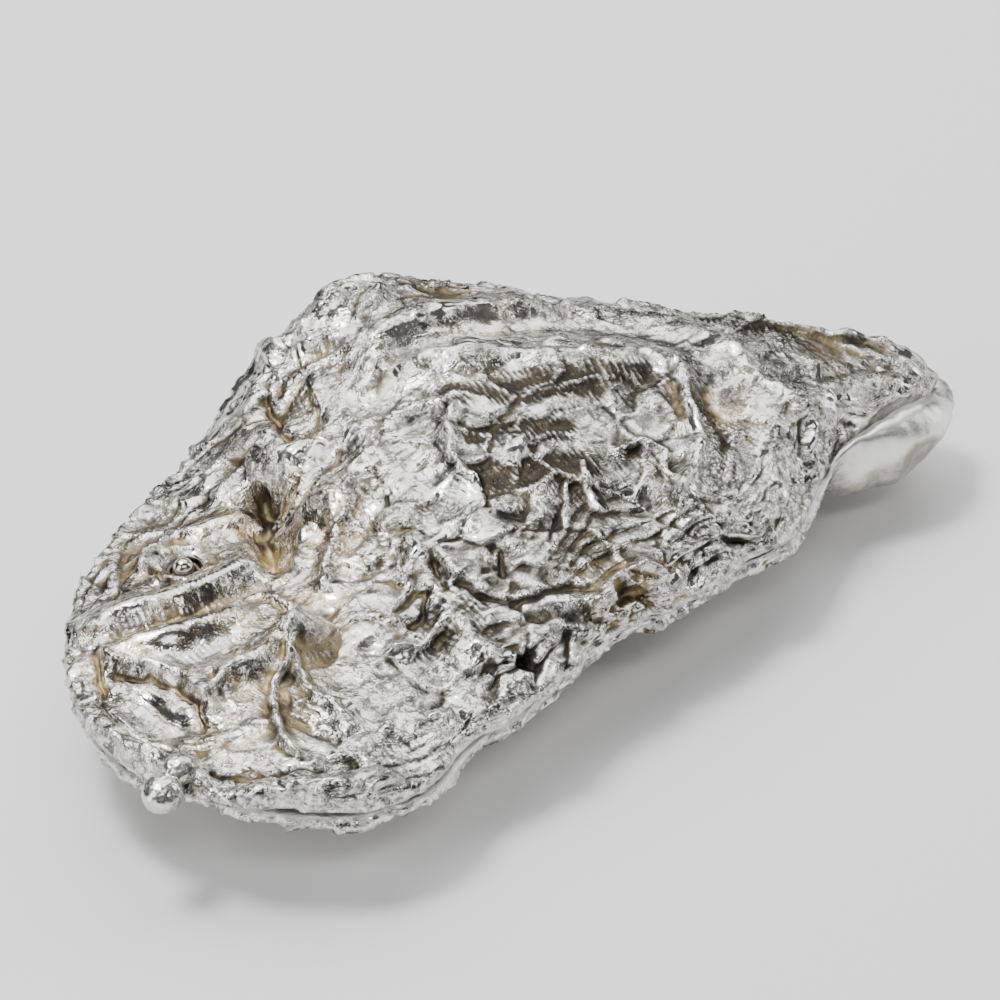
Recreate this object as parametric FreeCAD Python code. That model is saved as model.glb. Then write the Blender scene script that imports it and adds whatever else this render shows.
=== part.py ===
import FreeCAD, Part
import math
import os

# Silvered oyster-shell box: two cast valves that close rim on rim, hinged at the beak.
# Millimetres. X runs from the broad end (-X) to the beak (+X), Z is up, the foot stands on z = 0.

# overall sizes
shell_length = 158.4      # lid, broad end to beak
shell_width = 98.0        # lid, near rim to far rim
lid_rise = 21.0           # parting line to the top of the crown points
cup_depth = 15.0          # table to the parting line
# walls
rim_gap = 0.3             # open seam between the two rims
rim_thick = 2.0           # lamella thickness at each rim
wall = 3.2                # cast wall
least_wall = 2.2          # least metal left under a fold or pocket
rim_wave = 0.9            # how far the seam rises and falls round the rim
foot_sink = 0.8           # how much of the rounded bottom is ground off flat
cup_taper = 0.75          # part of the way in from the rim over which the cup deepens
lobe_drop = 0.55          # depth of the beak lobe against the depth of the cup
# hinge
barrel_r = 1.6
pin_r = 0.8
hinge_length = 9.0
centre_knuckle = 3.4
knuckle_gap = 0.3
running_gap = 0.05        # pin in the centre knuckle, per side
barrel_gap = 0.4          # valve to barrel
leaf_reach = 9.0          # leaf, free edge to pin axis
leaf_thick = 0.7
leaf_face_gap = 0.5       # between the two leaves when shut
leaf_side_gap = 0.1
axis_rise = 1.0           # pin axis above the parting line
heel = 2.4                # lid metal behind the pin axis
open_angle = 50.0
heel_relief = 0.5         # lower beak step under the lid's heel
rivet_r = 0.6
rivet_head_r = 1.1
rivet_head_deep = 0.5
rivet_deep = 2.0          # shank in the casting
rivet_spread = 2.4        # each side of the hinge centre
rivet_back = 6.2          # from the pin axis
# trims
bead_r = 1.6
bead_dimple = 0.35
bead_gap = 0.35           # bead to collar, per side
collar_wall = 0.75
collar_bore_r = bead_r + bead_gap
collar_r = collar_bore_r + collar_wall
collar_tall = 1.1
bead_hole_deep = 1.9
knob_r = 2.6
knob_tip_r = 2.2
knob_reach = 2.7          # between the two lobes of the knob
skin_step = 2.7           # spacing of the points the shell skins pass through
seam_step = 7.0           # the same for the gently waved seam
outline_spans = 24        # lengths the outline is drawn in

# stations drawn for a lid of this size, then stretched to the sizes above
drawn_length = 158.4
drawn_width = 98.0
drawn_rise = 21.0
stretch_x = shell_length / drawn_length
stretch_y = shell_width / drawn_width
stretch_z = lid_rise / drawn_rise
centre = (-2.0, 3.0)
lid_outline = [(74.8, -5), (71.5, -10), (65, -12), (57, -12.6), (47, -15.2), (42, -18.4),
               (33.5, -25), (26, -28.6), (18, -29), (5, -32), (-9, -33.4), (-23, -37.6), (-32, -39.6),
               (-41, -40.6), (-50, -44.6), (-60, -44.2), (-67, -40.3), (-73, -34.5), (-78, -28),
               (-81, -22), (-82.6, -16), (-82.6, -8), (-80, 1), (-76.5, 9), (-67.5, 21), (-59, 27.3),
               (-47, 34), (-38, 38.5), (-30, 43.5), (-23.5, 49), (-14, 53), (-3, 54), (7, 51.5),
               (18, 43), (33, 31.5), (48, 18.5), (62, 6), (72, 0)]
cup_outline = [(77.8, -7), (73.5, -14), (67.5, -18.8), (62.5, -19), (57.5, -19.8), (52.5, -18.2),
               (47.5, -17.2), (43, -19.5), (34.4, -26.2), (26.5, -30.1), (18, -30.2), (5, -33),
               (-9, -34.3), (-23, -38.7), (-32, -40.6), (-41, -41.6), (-50, -46), (-60.5, -45.4),
               (-68, -41.4), (-74, -35.4), (-79, -28.2), (-82, -22.5), (-84, -16), (-84.2, -8),
               (-81.2, 1.5), (-77.2, 9.5), (-68, 22), (-60, 28.2), (-47.6, 35), (-38.5, 39.5),
               (-30.5, 44.4), (-24, 50), (-14, 53.8), (-3, 54.8), (7, 52.3), (19, 43.8), (34, 32.3),
               (49, 19.5), (63, 7), (73.8, 0.5)]
# crown: points of the smooth back of the lid, height above the parting line
crown_points = [(-3, 43, 19.6), (10, 37, 18), (26, 23, 15.6), (40, 13, 13.2), (52, 3, 10.4),
                (62, -4, 7.2), (72, -5, 5.4), (-4, 20, 19.4), (12, 12, 18.6), (28, 3, 16),
                (42, -5, 12.4), (6, -14, 12.6), (-20, -22, 9.6), (30, -13, 11.8), (-35, -30, 5.5),
                (10, -26, 7), (-24, 43, 10.5), (-12, 46, 15), (-22, 18, 13.6), (-26, 0, 12),
                (-40, -18, 7), (-50, 20, 4.6), (-60, 5, 5.6), (-72, -8, 4.3), (-66, -25, 3.8),
                (-52, -36, 3.8), (-45, 4, 5.6), (-45, 30, 3.8)]
# folds: centre line, half width, height (negative: a valley)
folds = {
    "ribbed flute": ([(-71, 11), (-62, 6.5), (-54, 6), (-46, 7)], 3.2, 2.6),
    "second flute": ([(-65, -12), (-60, -13), (-56, -13), (-50, -11)], 3.2, 1.6),
    "torn plate": ([(-74, 3), (-66, 0), (-58, -2)], 3.4, 1.2),
    "pale crest": ([(-49, -11), (-54, -17), (-55.5, -25), (-55, -32)], 2.6, 1.2),
    "broad end lip": ([(-77, 5), (-80.5, -5), (-81, -15), (-77, -27)], 2.4, 1.4),
    "front lip": ([(-72, -34), (-65, -39), (-57, -42)], 2.8, 1.4),
    "tube fold": ([(-12, 42), (-7, 42), (-2, 39)], 3.0, 1.6),
    "far lip": ([(-10, 31.5), (-2, 29.5), (7, 29), (18, 28)], 2.8, 1.3),
    "near crest": ([(-6, 20), (5, 14), (16, 8.5), (27, 4), (36, 1)], 3.2, 1.0),
    "shoulder fold": ([(-29, 33), (-30, 20), (-31, 8)], 3.2, 1.6),
    "face fold": ([(-20, 16), (-24, 0), (-29, -15), (-33, -30)], 3.2, 1.5),
    "middle fold": ([(-7, 9), (-12, 4), (-15, -4), (-18, -14)], 3.2, 1.1),
    "beak crest": ([(27, 0), (24, -9), (19, -16), (12, -22)], 2.8, 1.3),
    "beak swirl": ([(38, 8), (40, -4), (41, -14)], 2.8, 1.0),
    "mouth brow": ([(-11, -32), (-4, -31), (3, -31)], 2.6, 1.6),
    "tarnished pocket": ([(-35, 19), (-39, 13), (-42, 7)], 3.4, -4.2),
    "flute valley": ([(-68, 5), (-58, 2), (-49, 3)], 2.8, -1.2),
    "bowl": ([(-75, -8), (-74, -16)], 3.6, -1.4),
    "trough": ([(-4, 26), (4, 25), (15, 22), (23, 18), (32, 12)], 3.2, -1.8),
    "face valley": ([(-30, -9), (-33, -21), (-40, -34)], 3.0, -1.6),
    "swirl valley": ([(33, 6), (32, -8), (28, -20)], 2.8, -1.0),
}
hinge_centre_y = -4.0
bead_place = (-53, 14.5)
knob_place = (-79.4, -24.9)

axis_x = lid_outline[0][0] * stretch_x - heel
axis_y = hinge_centre_y * stretch_y
axis_z = cup_depth + axis_rise
half_gap = rim_gap / 2
cup_face = cup_depth - half_gap
lid_face = cup_depth + half_gap
leaf_low = cup_depth - leaf_face_gap / 2
leaf_high = cup_depth + leaf_face_gap / 2
tall = 70.0


def polar(points):
    """Outline as angle and radius about the centre, wrapped one turn each way."""
    ring = sorted((math.atan2(y - centre[1], x - centre[0]),
                   math.hypot(x - centre[0], y - centre[1])) for x, y in points)
    turn = 2 * math.pi
    before = [(a - turn, r) for a, r in ring[-3:]]
    after = [(a + turn, r) for a, r in ring[:3]]
    return before + ring + after


lid_ring = polar(lid_outline)
cup_ring = polar(cup_outline)


def radius(ring, angle):
    """Smooth radius of an outline at an angle."""
    i = 1
    while ring[i + 1][0] < angle:
        i += 1
    (a0, r0), (a1, r1), (a2, r2), (a3, r3) = ring[i - 1:i + 3]
    span = a2 - a1
    s = (angle - a1) / span
    m1 = (r2 - r0) / (a2 - a0) * span
    m2 = (r3 - r1) / (a3 - a1) * span
    return ((2 * s ** 3 - 3 * s * s + 1) * r1 + (s ** 3 - 2 * s * s + s) * m1
            + (3 * s * s - 2 * s ** 3) * r2 + (s ** 3 - s * s) * m2)


def spread(ring, x, y):
    """0 at the centre of the shell, 1 on the outline."""
    dx = x - centre[0]
    dy = y - centre[1]
    return math.hypot(dx, dy) / radius(ring, math.atan2(dy, dx))


def solve(rows, values):
    n = len(values)
    m = [list(rows[i]) + [values[i]] for i in range(n)]
    for c in range(n):
        p = max(range(c, n), key=lambda r: abs(m[r][c]))
        m[c], m[p] = m[p], m[c]
        for r in range(c + 1, n):
            f = m[r][c] / m[c][c]
            for k in range(c, n + 1):
                m[r][k] -= f * m[c][k]
    x = [0.0] * n
    for r in range(n - 1, -1, -1):
        x[r] = (m[r][n] - sum(m[r][k] * x[k] for k in range(r + 1, n))) / m[r][r]
    return x


def bend(dx, dy):
    q = dx * dx + dy * dy
    return 0.0 if q < 1e-9 else q * math.log(q)


def crown_weights():
    """Thin-plate skin through the crown points, a little relaxed."""
    n = len(crown_points)
    rows = []
    for i, p in enumerate(crown_points):
        row = [bend(p[0] - q[0], p[1] - q[1]) for q in crown_points]
        row[i] += 6.0
        rows.append(row + [1, p[0], p[1]])
    for k in range(3):
        rows.append([(1, p[0], p[1])[k] for p in crown_points] + [0, 0, 0])
    return solve(rows, [p[2] for p in crown_points] + [0, 0, 0])


weights = crown_weights()


def crown(x, y):
    """Smooth back of the lid above the parting line."""
    n = len(crown_points)
    rise = weights[n] + weights[n + 1] * x + weights[n + 2] * y
    for w, p in zip(weights, crown_points):
        rise += w * bend(x - p[0], y - p[1])
    return rise * stretch_z


def to_line(x, y, line):
    """Distance to a polyline."""
    best = 1e9
    for (ax, ay), (bx, by) in zip(line, line[1:]):
        ux, uy = bx - ax, by - ay
        t = ((x - ax) * ux + (y - ay) * uy) / (ux * ux + uy * uy)
        t = min(max(t, 0.0), 1.0)
        best = min(best, math.hypot(x - ax - t * ux, y - ay - t * uy))
    return best


def fold_height(x, y):
    total = 0.0
    for line, half, high in folds.values():
        d = to_line(x, y, line) / half
        if d < 3.2:
            total += high * math.exp(-d * d)
    return total


def clamp(s):
    return min(max(s, 0.0), 1.0)


def roll(s):
    """Edge roll-off: rises fast from 0 at the rim to 1, runs on a little below 0 outside."""
    return max(s, -0.35) * math.pi / 2 if s < 0 else math.sin(clamp(s) * math.pi / 2)


def smooth(s):
    s = clamp(s)
    return s * s * (3 - 2 * s)


def seam(x, y):
    """Height of the wavy parting line, flat towards the hinge."""
    q = min(spread(lid_ring, x, y), 1.15)
    angle = math.atan2(y - centre[1], x - centre[0])
    wave = math.sin(3 * angle + 0.6) + 0.5 * math.sin(7 * angle + 2.0)
    return cup_depth + rim_wave * wave * q * q * q * clamp((50 - x) / 24)


def lid_top(x, y):
    q = spread(lid_ring, x, y)
    base = seam(x, y)
    width = 0.17 - 0.10 * clamp((x - 40) / 20)
    back = cup_depth + crown(x, y) - base - rim_thick
    high = base + rim_thick + back * roll((1 - q) / width)
    quiet = clamp((66 - x) / 12)
    return max(high + fold_height(x, y) * quiet, base + 0.7 * rim_thick)


def lid_inside(x, y):
    q = spread(lid_ring, x, y) + 0.017 * max(0.0, x - 38)
    base = seam(x, y)
    back = cup_depth + crown(x, y) - base - wall
    smooth_roof = base + max(back, 0.4) * roll((0.90 - q) / 0.20)
    return min(smooth_roof, lid_top(x, y) - least_wall)


def cup_bottom(x, y):
    q = spread(cup_ring, x, y)
    beak = smooth((x - 36) / 22)
    drop = cup_depth - rim_thick + foot_sink
    bowl = smooth((1 - q) / cup_taper)
    lobe = lobe_drop * roll(clamp((1 - q) / 0.20))
    return seam(x, y) - rim_thick - drop * ((1 - beak) * bowl + beak * lobe)


def cup_inside(x, y):
    q = spread(cup_ring, x, y) + 0.017 * max(0.0, x - 38)
    floor = seam(x, y) - (cup_depth - wall) * roll((0.88 - q) / 0.42)
    return max(floor, max(cup_bottom(x, y), 0.0) + least_wall)


def skin(height, step=skin_step, lift=0.0):
    """Face through the height of the shell, point by point on an even net."""
    xs = [-91 + step * i for i in range(math.ceil(176 / step) + 1)]
    ys = [-54 + step * i for i in range(math.ceil(111 / step) + 1)]
    net = [[FreeCAD.Vector(x * stretch_x, y * stretch_y, height(x, y) + lift) for y in ys]
           for x in xs]
    surface = Part.BSplineSurface()
    surface.interpolate(net)
    return surface.toShape()


def outline_point(ring, angle):
    r = radius(ring, math.remainder(angle, 2 * math.pi))
    return FreeCAD.Vector((centre[0] + r * math.cos(angle)) * stretch_x,
                          (centre[1] + r * math.sin(angle)) * stretch_y, 0)


def outline_span(ring, start, width):
    """One length of the outline, tangent to its neighbours."""
    points = [outline_point(ring, start + width * k / 6) for k in range(7)]
    ends = []
    for angle in (start, start + width):
        step = outline_point(ring, angle + 0.004).sub(outline_point(ring, angle - 0.004))
        ends.append(step.normalize())
    curve = Part.BSplineCurve()
    curve.interpolate(Points=points, InitialTangent=ends[0], FinalTangent=ends[1])
    return curve.toShape()


def prism(ring):
    """Upright block with the plan shape of a valve."""
    width = 2 * math.pi / outline_spans
    spans = [outline_span(ring, -math.pi + width * i, width) for i in range(outline_spans)]
    return Part.Face(Part.Wire(spans)).extrude(FreeCAD.Vector(0, 0, tall))


def block(x0, x1, y0, y1, z0, z1):
    return Part.makeBox(x1 - x0, y1 - y0, z1 - z0, FreeCAD.Vector(x0, y0, z0))


def rod(r, y0, y1):
    """Cylinder on the hinge axis."""
    return Part.makeCylinder(r, y1 - y0, FreeCAD.Vector(axis_x, axis_y + y0, axis_z),
                             FreeCAD.Vector(0, 1, 0))


def up(face, high):
    return face.extrude(FreeCAD.Vector(0, 0, high))


def rivets():
    """Countersunk rivets, heads flush with the leaf faces that look at each other."""
    made = {}
    for side, face, way in (("lower", leaf_low, -1), ("upper", leaf_high, 1)):
        for number, offset in ((1, -rivet_spread), (2, rivet_spread)):
            foot = FreeCAD.Vector(axis_x - rivet_back, axis_y + offset, face)
            out = FreeCAD.Vector(0, 0, way)
            head = Part.makeCone(rivet_head_r, rivet_r, rivet_head_deep, foot, out)
            shank = Part.makeCylinder(rivet_r, leaf_thick + rivet_deep, foot, out)
            made[side + "_rivet_" + str(number)] = head.fuse(shank).removeSplitter()
    return made


def leaf(knuckles, notches, z0):
    """One hinge leaf: a plate with its knuckles, cut clear of the other leaf's knuckles."""
    plate = block(axis_x - leaf_reach, axis_x, axis_y - hinge_length / 2,
                  axis_y + hinge_length / 2, z0, z0 + leaf_thick)
    plate = plate.cut(rod(pin_r, -hinge_length, hinge_length))
    for y0, y1 in notches:
        plate = plate.cut(block(axis_x - barrel_r - knuckle_gap, axis_x + barrel_r,
                                axis_y + y0, axis_y + y1, z0 - 1, z0 + leaf_thick + 1))
    for y0, y1 in knuckles:
        plate = plate.fuse(rod(barrel_r, y0, y1))
    return plate


def hinge_pieces():
    half = hinge_length / 2
    inner = centre_knuckle / 2
    outer = inner + knuckle_gap
    lower = leaf([(-half, -outer), (outer, half)], [(-outer, outer)], leaf_low - leaf_thick)
    lower = lower.cut(rod(pin_r, -half - 1, half + 1)).removeSplitter()
    upper = leaf([(-inner, inner)], [(-half - 1, -inner), (inner, half + 1)], leaf_high)
    upper = upper.cut(rod(pin_r + running_gap, -half - 1, half + 1)).removeSplitter()
    pin = rod(pin_r, -half, half)
    return lower, upper, pin


def knob():
    """Two smooth lobes, turned as one piece: the finger hold that grows out over the broad end."""
    x, y = knob_place[0] * stretch_x, knob_place[1] * stretch_y
    waist_x = (knob_reach ** 2 + knob_r ** 2 - knob_tip_r ** 2) / (2 * knob_reach)
    waist = FreeCAD.Vector(waist_x, 0, math.sqrt(knob_r ** 2 - waist_x ** 2))
    back = FreeCAD.Vector(-knob_r, 0, 0)
    tip = FreeCAD.Vector(knob_reach + knob_tip_r, 0, 0)
    lobes = [Part.Arc(back, FreeCAD.Vector(0, 0, knob_r), waist).toShape(),
             Part.Arc(waist, FreeCAD.Vector(knob_reach, 0, knob_tip_r), tip).toShape(),
             Part.makeLine(tip, back)]
    turned = Part.Face(Part.Wire(lobes)).revolve(FreeCAD.Vector(), FreeCAD.Vector(1, 0, 0), 360)
    turned.rotate(FreeCAD.Vector(), FreeCAD.Vector(0, 0, 1), math.degrees(math.atan2(y, x)))
    turned.translate(FreeCAD.Vector(x, y, seam(*knob_place) + rim_gap + knob_r))
    return turned


def bead_pieces():
    """The bead's round pocket with its collar; returns pocket, collar and bead."""
    x, y = bead_place[0] * stretch_x, bead_place[1] * stretch_y
    floor = lid_top(*bead_place) - bead_hole_deep
    base = FreeCAD.Vector(x, y, floor)
    bead = Part.makeSphere(bead_r, FreeCAD.Vector(x, y, floor + bead_r - bead_dimple))
    collar = Part.makeCylinder(collar_r, collar_tall, base)
    collar = collar.cut(Part.makeCylinder(collar_bore_r, collar_tall, base))
    pocket = Part.makeCylinder(collar_r, tall, base).fuse(bead)
    return pocket, collar, bead


def barrel_room():
    """Space round the hinge barrel, open to the back of the lid."""
    half = hinge_length / 2 + knuckle_gap
    room = rod(barrel_r + barrel_gap, -half, half)
    return room.fuse(block(axis_x, axis_x + 20, axis_y - half, axis_y + half,
                           cup_depth - 2, axis_z + barrel_r + barrel_gap))


def leaf_room(z0, z1):
    side = hinge_length / 2 + leaf_side_gap
    return block(axis_x - leaf_reach - leaf_side_gap, axis_x, axis_y - side, axis_y + side,
                 z0, z1)


def heel_room():
    """What the lid's heel would sweep under the seam at full opening."""
    room = block(axis_x - 1.5, axis_x + 30, axis_y - 60, axis_y + 60, cup_depth - 30, lid_face)
    room.rotate(FreeCAD.Vector(axis_x, axis_y, axis_z), FreeCAD.Vector(0, 1, 0), -open_angle)
    return room


def upper_valve(seam_high, sockets):
    body = prism(lid_ring).common(skin(lid_top).extrude(FreeCAD.Vector(0, 0, -tall)))
    body = body.common(up(seam_high, tall))
    body = body.cut(skin(lid_inside).extrude(FreeCAD.Vector(0, 0, -tall)))
    body = body.cut(barrel_room())
    body = body.cut(leaf_room(cup_depth - 5, leaf_high + leaf_thick))
    body = body.cut(heel_room())
    for tool in sockets:
        body = body.cut(tool)
    return body


def lower_valve(seam_low, pins):
    body = prism(cup_ring).common(up(skin(cup_bottom), tall))
    body = body.common(seam_low.extrude(FreeCAD.Vector(0, 0, -tall)))
    body = body.cut(up(skin(cup_inside), tall))
    half = hinge_length / 2 + knuckle_gap
    body = body.cut(leaf_room(leaf_low - leaf_thick, tall))
    body = body.cut(block(axis_x - barrel_r - barrel_gap, axis_x + barrel_r + barrel_gap,
                          axis_y - half, axis_y + half, leaf_low - leaf_thick, tall))
    body = body.cut(block(axis_x - 2.5, axis_x + 30, axis_y - 60, axis_y + 60,
                          cup_depth - heel_relief, tall))
    for tool in pins:
        body = body.cut(tool)
    return body


def solid_of(shape):
    """The one large solid of a cut; slivers under a cubic millimetre are dropped."""
    solids = [s for s in shape.Solids if s.Volume > 1.0]
    return solids[0] if len(solids) == 1 else Part.makeCompound(solids)


def build():
    seam_low = skin(seam, seam_step, -half_gap)
    seam_high = skin(seam, seam_step, half_gap)
    fixings = rivets()
    lower_pins = [shape for name, shape in fixings.items() if name.startswith("lower")]
    upper_pins = [shape for name, shape in fixings.items() if name.startswith("upper")]
    lower_leaf, upper_leaf, pin = hinge_pieces()
    for tool in lower_pins:
        lower_leaf = lower_leaf.cut(tool)
    for tool in upper_pins:
        upper_leaf = upper_leaf.cut(tool)
    knob_shape = knob()
    pocket, collar, bead = bead_pieces()
    sockets = [knob_shape, pocket] + upper_pins
    pieces = {
        "upper_valve": solid_of(upper_valve(seam_high, sockets)),
        "lower_valve": solid_of(lower_valve(seam_low, lower_pins)),
        "lower_hinge_leaf": lower_leaf,
        "upper_hinge_leaf": upper_leaf,
        "hinge_pin": pin,
        "thumb_knob": knob_shape,
        "bead_collar": collar,
        "pocket_bead": bead,
    }
    pieces.update(fixings)
    return pieces


def centred(pieces):
    """Everything moved so that the box round the whole object stands centred on the origin."""
    box = Part.makeCompound(list(pieces.values())).optimalBoundingBox(True, False)
    move = FreeCAD.Vector(-(box.XMin + box.XMax) / 2, -(box.YMin + box.YMax) / 2, -box.ZMin)
    for shape in pieces.values():
        shape.translate(move)
    print("moved by", [round(v, 3) for v in move])
    print("hinge axis through", [round(v, 3) for v in
                                 (axis_x + move.x, axis_y + move.y, axis_z + move.z)])
    return pieces


for name, shape in centred(build()).items():
    shape.exportStep("parts/" + name + ".step")
    box = shape.optimalBoundingBox(True, False)
    print(name, len(shape.Solids), "solid", shape.isValid(), round(shape.Volume, 2),
          [round(v, 2) for v in (box.XMin, box.XMax, box.YMin, box.YMax, box.ZMin, box.ZMax)])
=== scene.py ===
import bpy, math
import numpy as np
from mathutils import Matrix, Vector
from types import SimpleNamespace


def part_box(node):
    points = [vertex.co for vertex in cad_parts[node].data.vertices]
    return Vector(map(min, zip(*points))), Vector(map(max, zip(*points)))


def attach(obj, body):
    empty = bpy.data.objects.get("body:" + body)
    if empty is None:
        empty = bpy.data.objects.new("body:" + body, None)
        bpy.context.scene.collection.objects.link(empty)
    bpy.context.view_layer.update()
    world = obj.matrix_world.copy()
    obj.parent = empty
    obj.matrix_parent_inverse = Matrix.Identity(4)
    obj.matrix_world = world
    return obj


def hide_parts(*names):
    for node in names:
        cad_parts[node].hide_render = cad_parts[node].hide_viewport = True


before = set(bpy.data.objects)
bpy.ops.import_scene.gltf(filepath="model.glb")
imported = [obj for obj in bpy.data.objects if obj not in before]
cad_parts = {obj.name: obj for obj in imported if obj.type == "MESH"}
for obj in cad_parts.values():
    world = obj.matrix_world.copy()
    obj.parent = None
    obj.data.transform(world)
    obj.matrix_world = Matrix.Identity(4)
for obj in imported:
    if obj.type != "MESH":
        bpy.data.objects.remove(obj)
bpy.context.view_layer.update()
mm = 0.001

# folds: centre line in mm from the drawn middle of the shell, half width, height
lidFolds = {
    "ribbed flute": ([(-70, 11), (-66, 8), (-62, 6), (-57, 5.5), (-51, 6.5), (-46.5, 7)], 2.6, 0.3),
    "flute shade": ([(-69, 6), (-64, 3.5), (-58, 2.5), (-52.5, 4), (-47, 5.5)], 1.2, -0.2),
    "torn plate": ([(-73, 3), (-67, 0.5), (-61, -1), (-55, -1.5)], 2.8, 1.2),
    "plate lip": ([(-73.5, 1), (-70, -3), (-67.5, -8), (-67.5, -14)], 1.2, 0.9),
    "plate drop": ([(-74.5, -1), (-71.5, -5), (-69.5, -9), (-69.5, -14), (-71, -18)], 0.9, -0.9),
    "third flute": ([(-64, -12.5), (-60.5, -13), (-57, -13.5), (-50.5, -11.5)], 2.0, 1.3),
    "crescent": ([(-65.5, -9), (-67, -12), (-68, -17)], 0.9, 0.7),
    "bowl": ([(-75, -8), (-75, -15)], 4.2, -0.8),
    "rim lip": ([(-76, 9), (-80, 1.5), (-82, -6), (-82, -14), (-80, -21)], 1.2, 1.0),
    "rim crease": ([(-74, 5.5), (-77, 0), (-79, -6), (-79.5, -13), (-77.5, -20)], 0.9, -1.2),
    "yellow strip": ([(-74, 6), (-73.5, -1)], 1.2, 0.4),
    "pocket flap": ([(-57.5, 18), (-55, 20), (-52, 20.5)], 1.1, 1.3),
    "pocket brim": ([(-49.5, 17), (-52.5, 18.2), (-55.5, 17), (-56.8, 14.5), (-56, 12)], 0.9, 1.0),
    "pocket crack": ([(-57, 16.5), (-57, 13), (-56, 10.5)], 0.8, -1.6),
    "upper lobe": ([(-50, 20.5), (-46, 19.5), (-41, 18.5), (-37.5, 17.5)], 2.8, 1.3),
    "pocket groove": ([(-34.5, 20.5), (-38.5, 14.5), (-41.5, 8)], 1.8, -1.5),
    "pocket bump": ([(-36, 7), (-40, 2)], 2.0, 1.3),
    "pocket ridge": ([(-27, 8), (-31.5, 3.5), (-36.5, -1), (-41, -5)], 1.6, 1.4),
    "knuckle fold": ([(-52.5, 1), (-48, 0.5), (-47, -5)], 0.9, 0.8),
    "pale crest": ([(-48.5, -10), (-53, -14.5), (-55, -19.5), (-55.5, -25), (-55, -30.5)], 0.7, 1.4),
    "pale branch": ([(-53.5, -15.5), (-58, -18), (-61.5, -22.5), (-63.5, -27.5), (-64, -32.5)], 0.7, 1.4),
    "front lip": ([(-77, -29.5), (-73.5, -34), (-67.5, -38.5), (-62, -41.5), (-55, -43)], 1.2, 1.0),
    "front crease": ([(-75, -27), (-71, -31.5), (-65, -36), (-59, -38.5)], 0.9, -1.1),
    "far flange": ([(-25, 46.5), (-17, 48), (-9, 49)], 1.5, 1.0),
    "flange hollow": ([(-21, 42), (-16, 43), (-11, 44)], 2.0, -2.2),
    "tube": ([(-12, 42.5), (-8, 42), (-3.5, 41.5)], 1.4, 1.6),
    "pointed fold": ([(1, 40), (-2, 38), (-5, 37)], 1.2, 1.4),
    "far lip": ([(-10.5, 31.5), (-2, 29.5), (6.5, 29), (17.5, 28)], 1.5, 0.4),
    "trough": ([(-3.5, 27), (4, 25.5), (15.5, 23), (22.5, 18), (32, 12.5)], 2.2, 0.3),
    "near crest": ([(-5.5, 20.5), (5, 14.5), (16, 9), (26, 4.5)], 1.4, 0.7),
    "shoulder crevice": ([(-24, 36), (-26, 29.5), (-28, 23.5)], 1.2, -1.6),
    "face crease": ([(-7.5, 9), (-11.5, 4.5), (-14, 0), (-14.5, -5)], 0.9, 1.2),
    "crevice one": ([(-31, -16.5), (-35.5, -20)], 1.2, -1.2),
    "crevice two": ([(-27.5, -13.5), (-28.5, -18.5)], 1.2, -1.0),
    "crevice three": ([(-18.5, -17), (-19.5, -20.5)], 1.2, -1.2),
    "long crease": ([(-26.5, -19), (-24.5, -23), (-22, -26), (-13.5, -27.5), (-10, -29)], 1.0, -0.9),
    "side fold": ([(-41, -23), (-37.5, -24), (-31.5, -22.5)], 1.2, 1.3),
    "eye": ([(-30, -31), (-30.5, -31.5)], 1.5, 1.2),
    "dark hole": ([(-26.5, -34.5), (-25.5, -35)], 1.3, -2.2),
    "beak crest": ([(27.5, 0.5), (25, -6), (22.5, -11), (19.5, -16), (14, -19), (11.5, -22)], 0.9, 1.5),
    "beak valley": ([(30, -4), (28, -10), (25.5, -15)], 2.2, -1.0),
    "arc": ([(8.5, -10.5), (12.5, -10), (15, -13), (13, -17.5)], 0.9, 1.1),
    "small arc": ([(2.5, -10), (0, -13.5), (0, -17.5)], 0.9, 1.1),
    "mouth": ([(-7, -31.5), (-3.5, -31.5), (-1.5, -32)], 1.4, -2.4),
    "mouth brow": ([(-11.5, -31), (-6.5, -29), (-1, -28.5), (2, -30)], 1.1, 1.6),
    "radial fold": ([(10, -27), (3.5, -27.5), (-0.5, -28)], 1.1, 1.2),
    "end fold": ([(41.5, -13), (39.5, -17.5), (39, -19)], 1.1, 1.2),
    "curl": ([(65.5, -9.5), (64.5, -8.5)], 1.4, -0.9),
    "curl ring": ([(62, -8), (63.5, -6), (67, -6), (69, -8.5)], 0.8, 0.8),
    "beak swirl": ([(39, 8.5), (39.5, 2), (38.5, -4.5), (41, -13)], 1.1, 0.8),
    "far ridge": ([(34, 22), (43, 16), (52, 10), (61, 2.5), (69, -2)], 1.1, 0.8),
}
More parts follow.
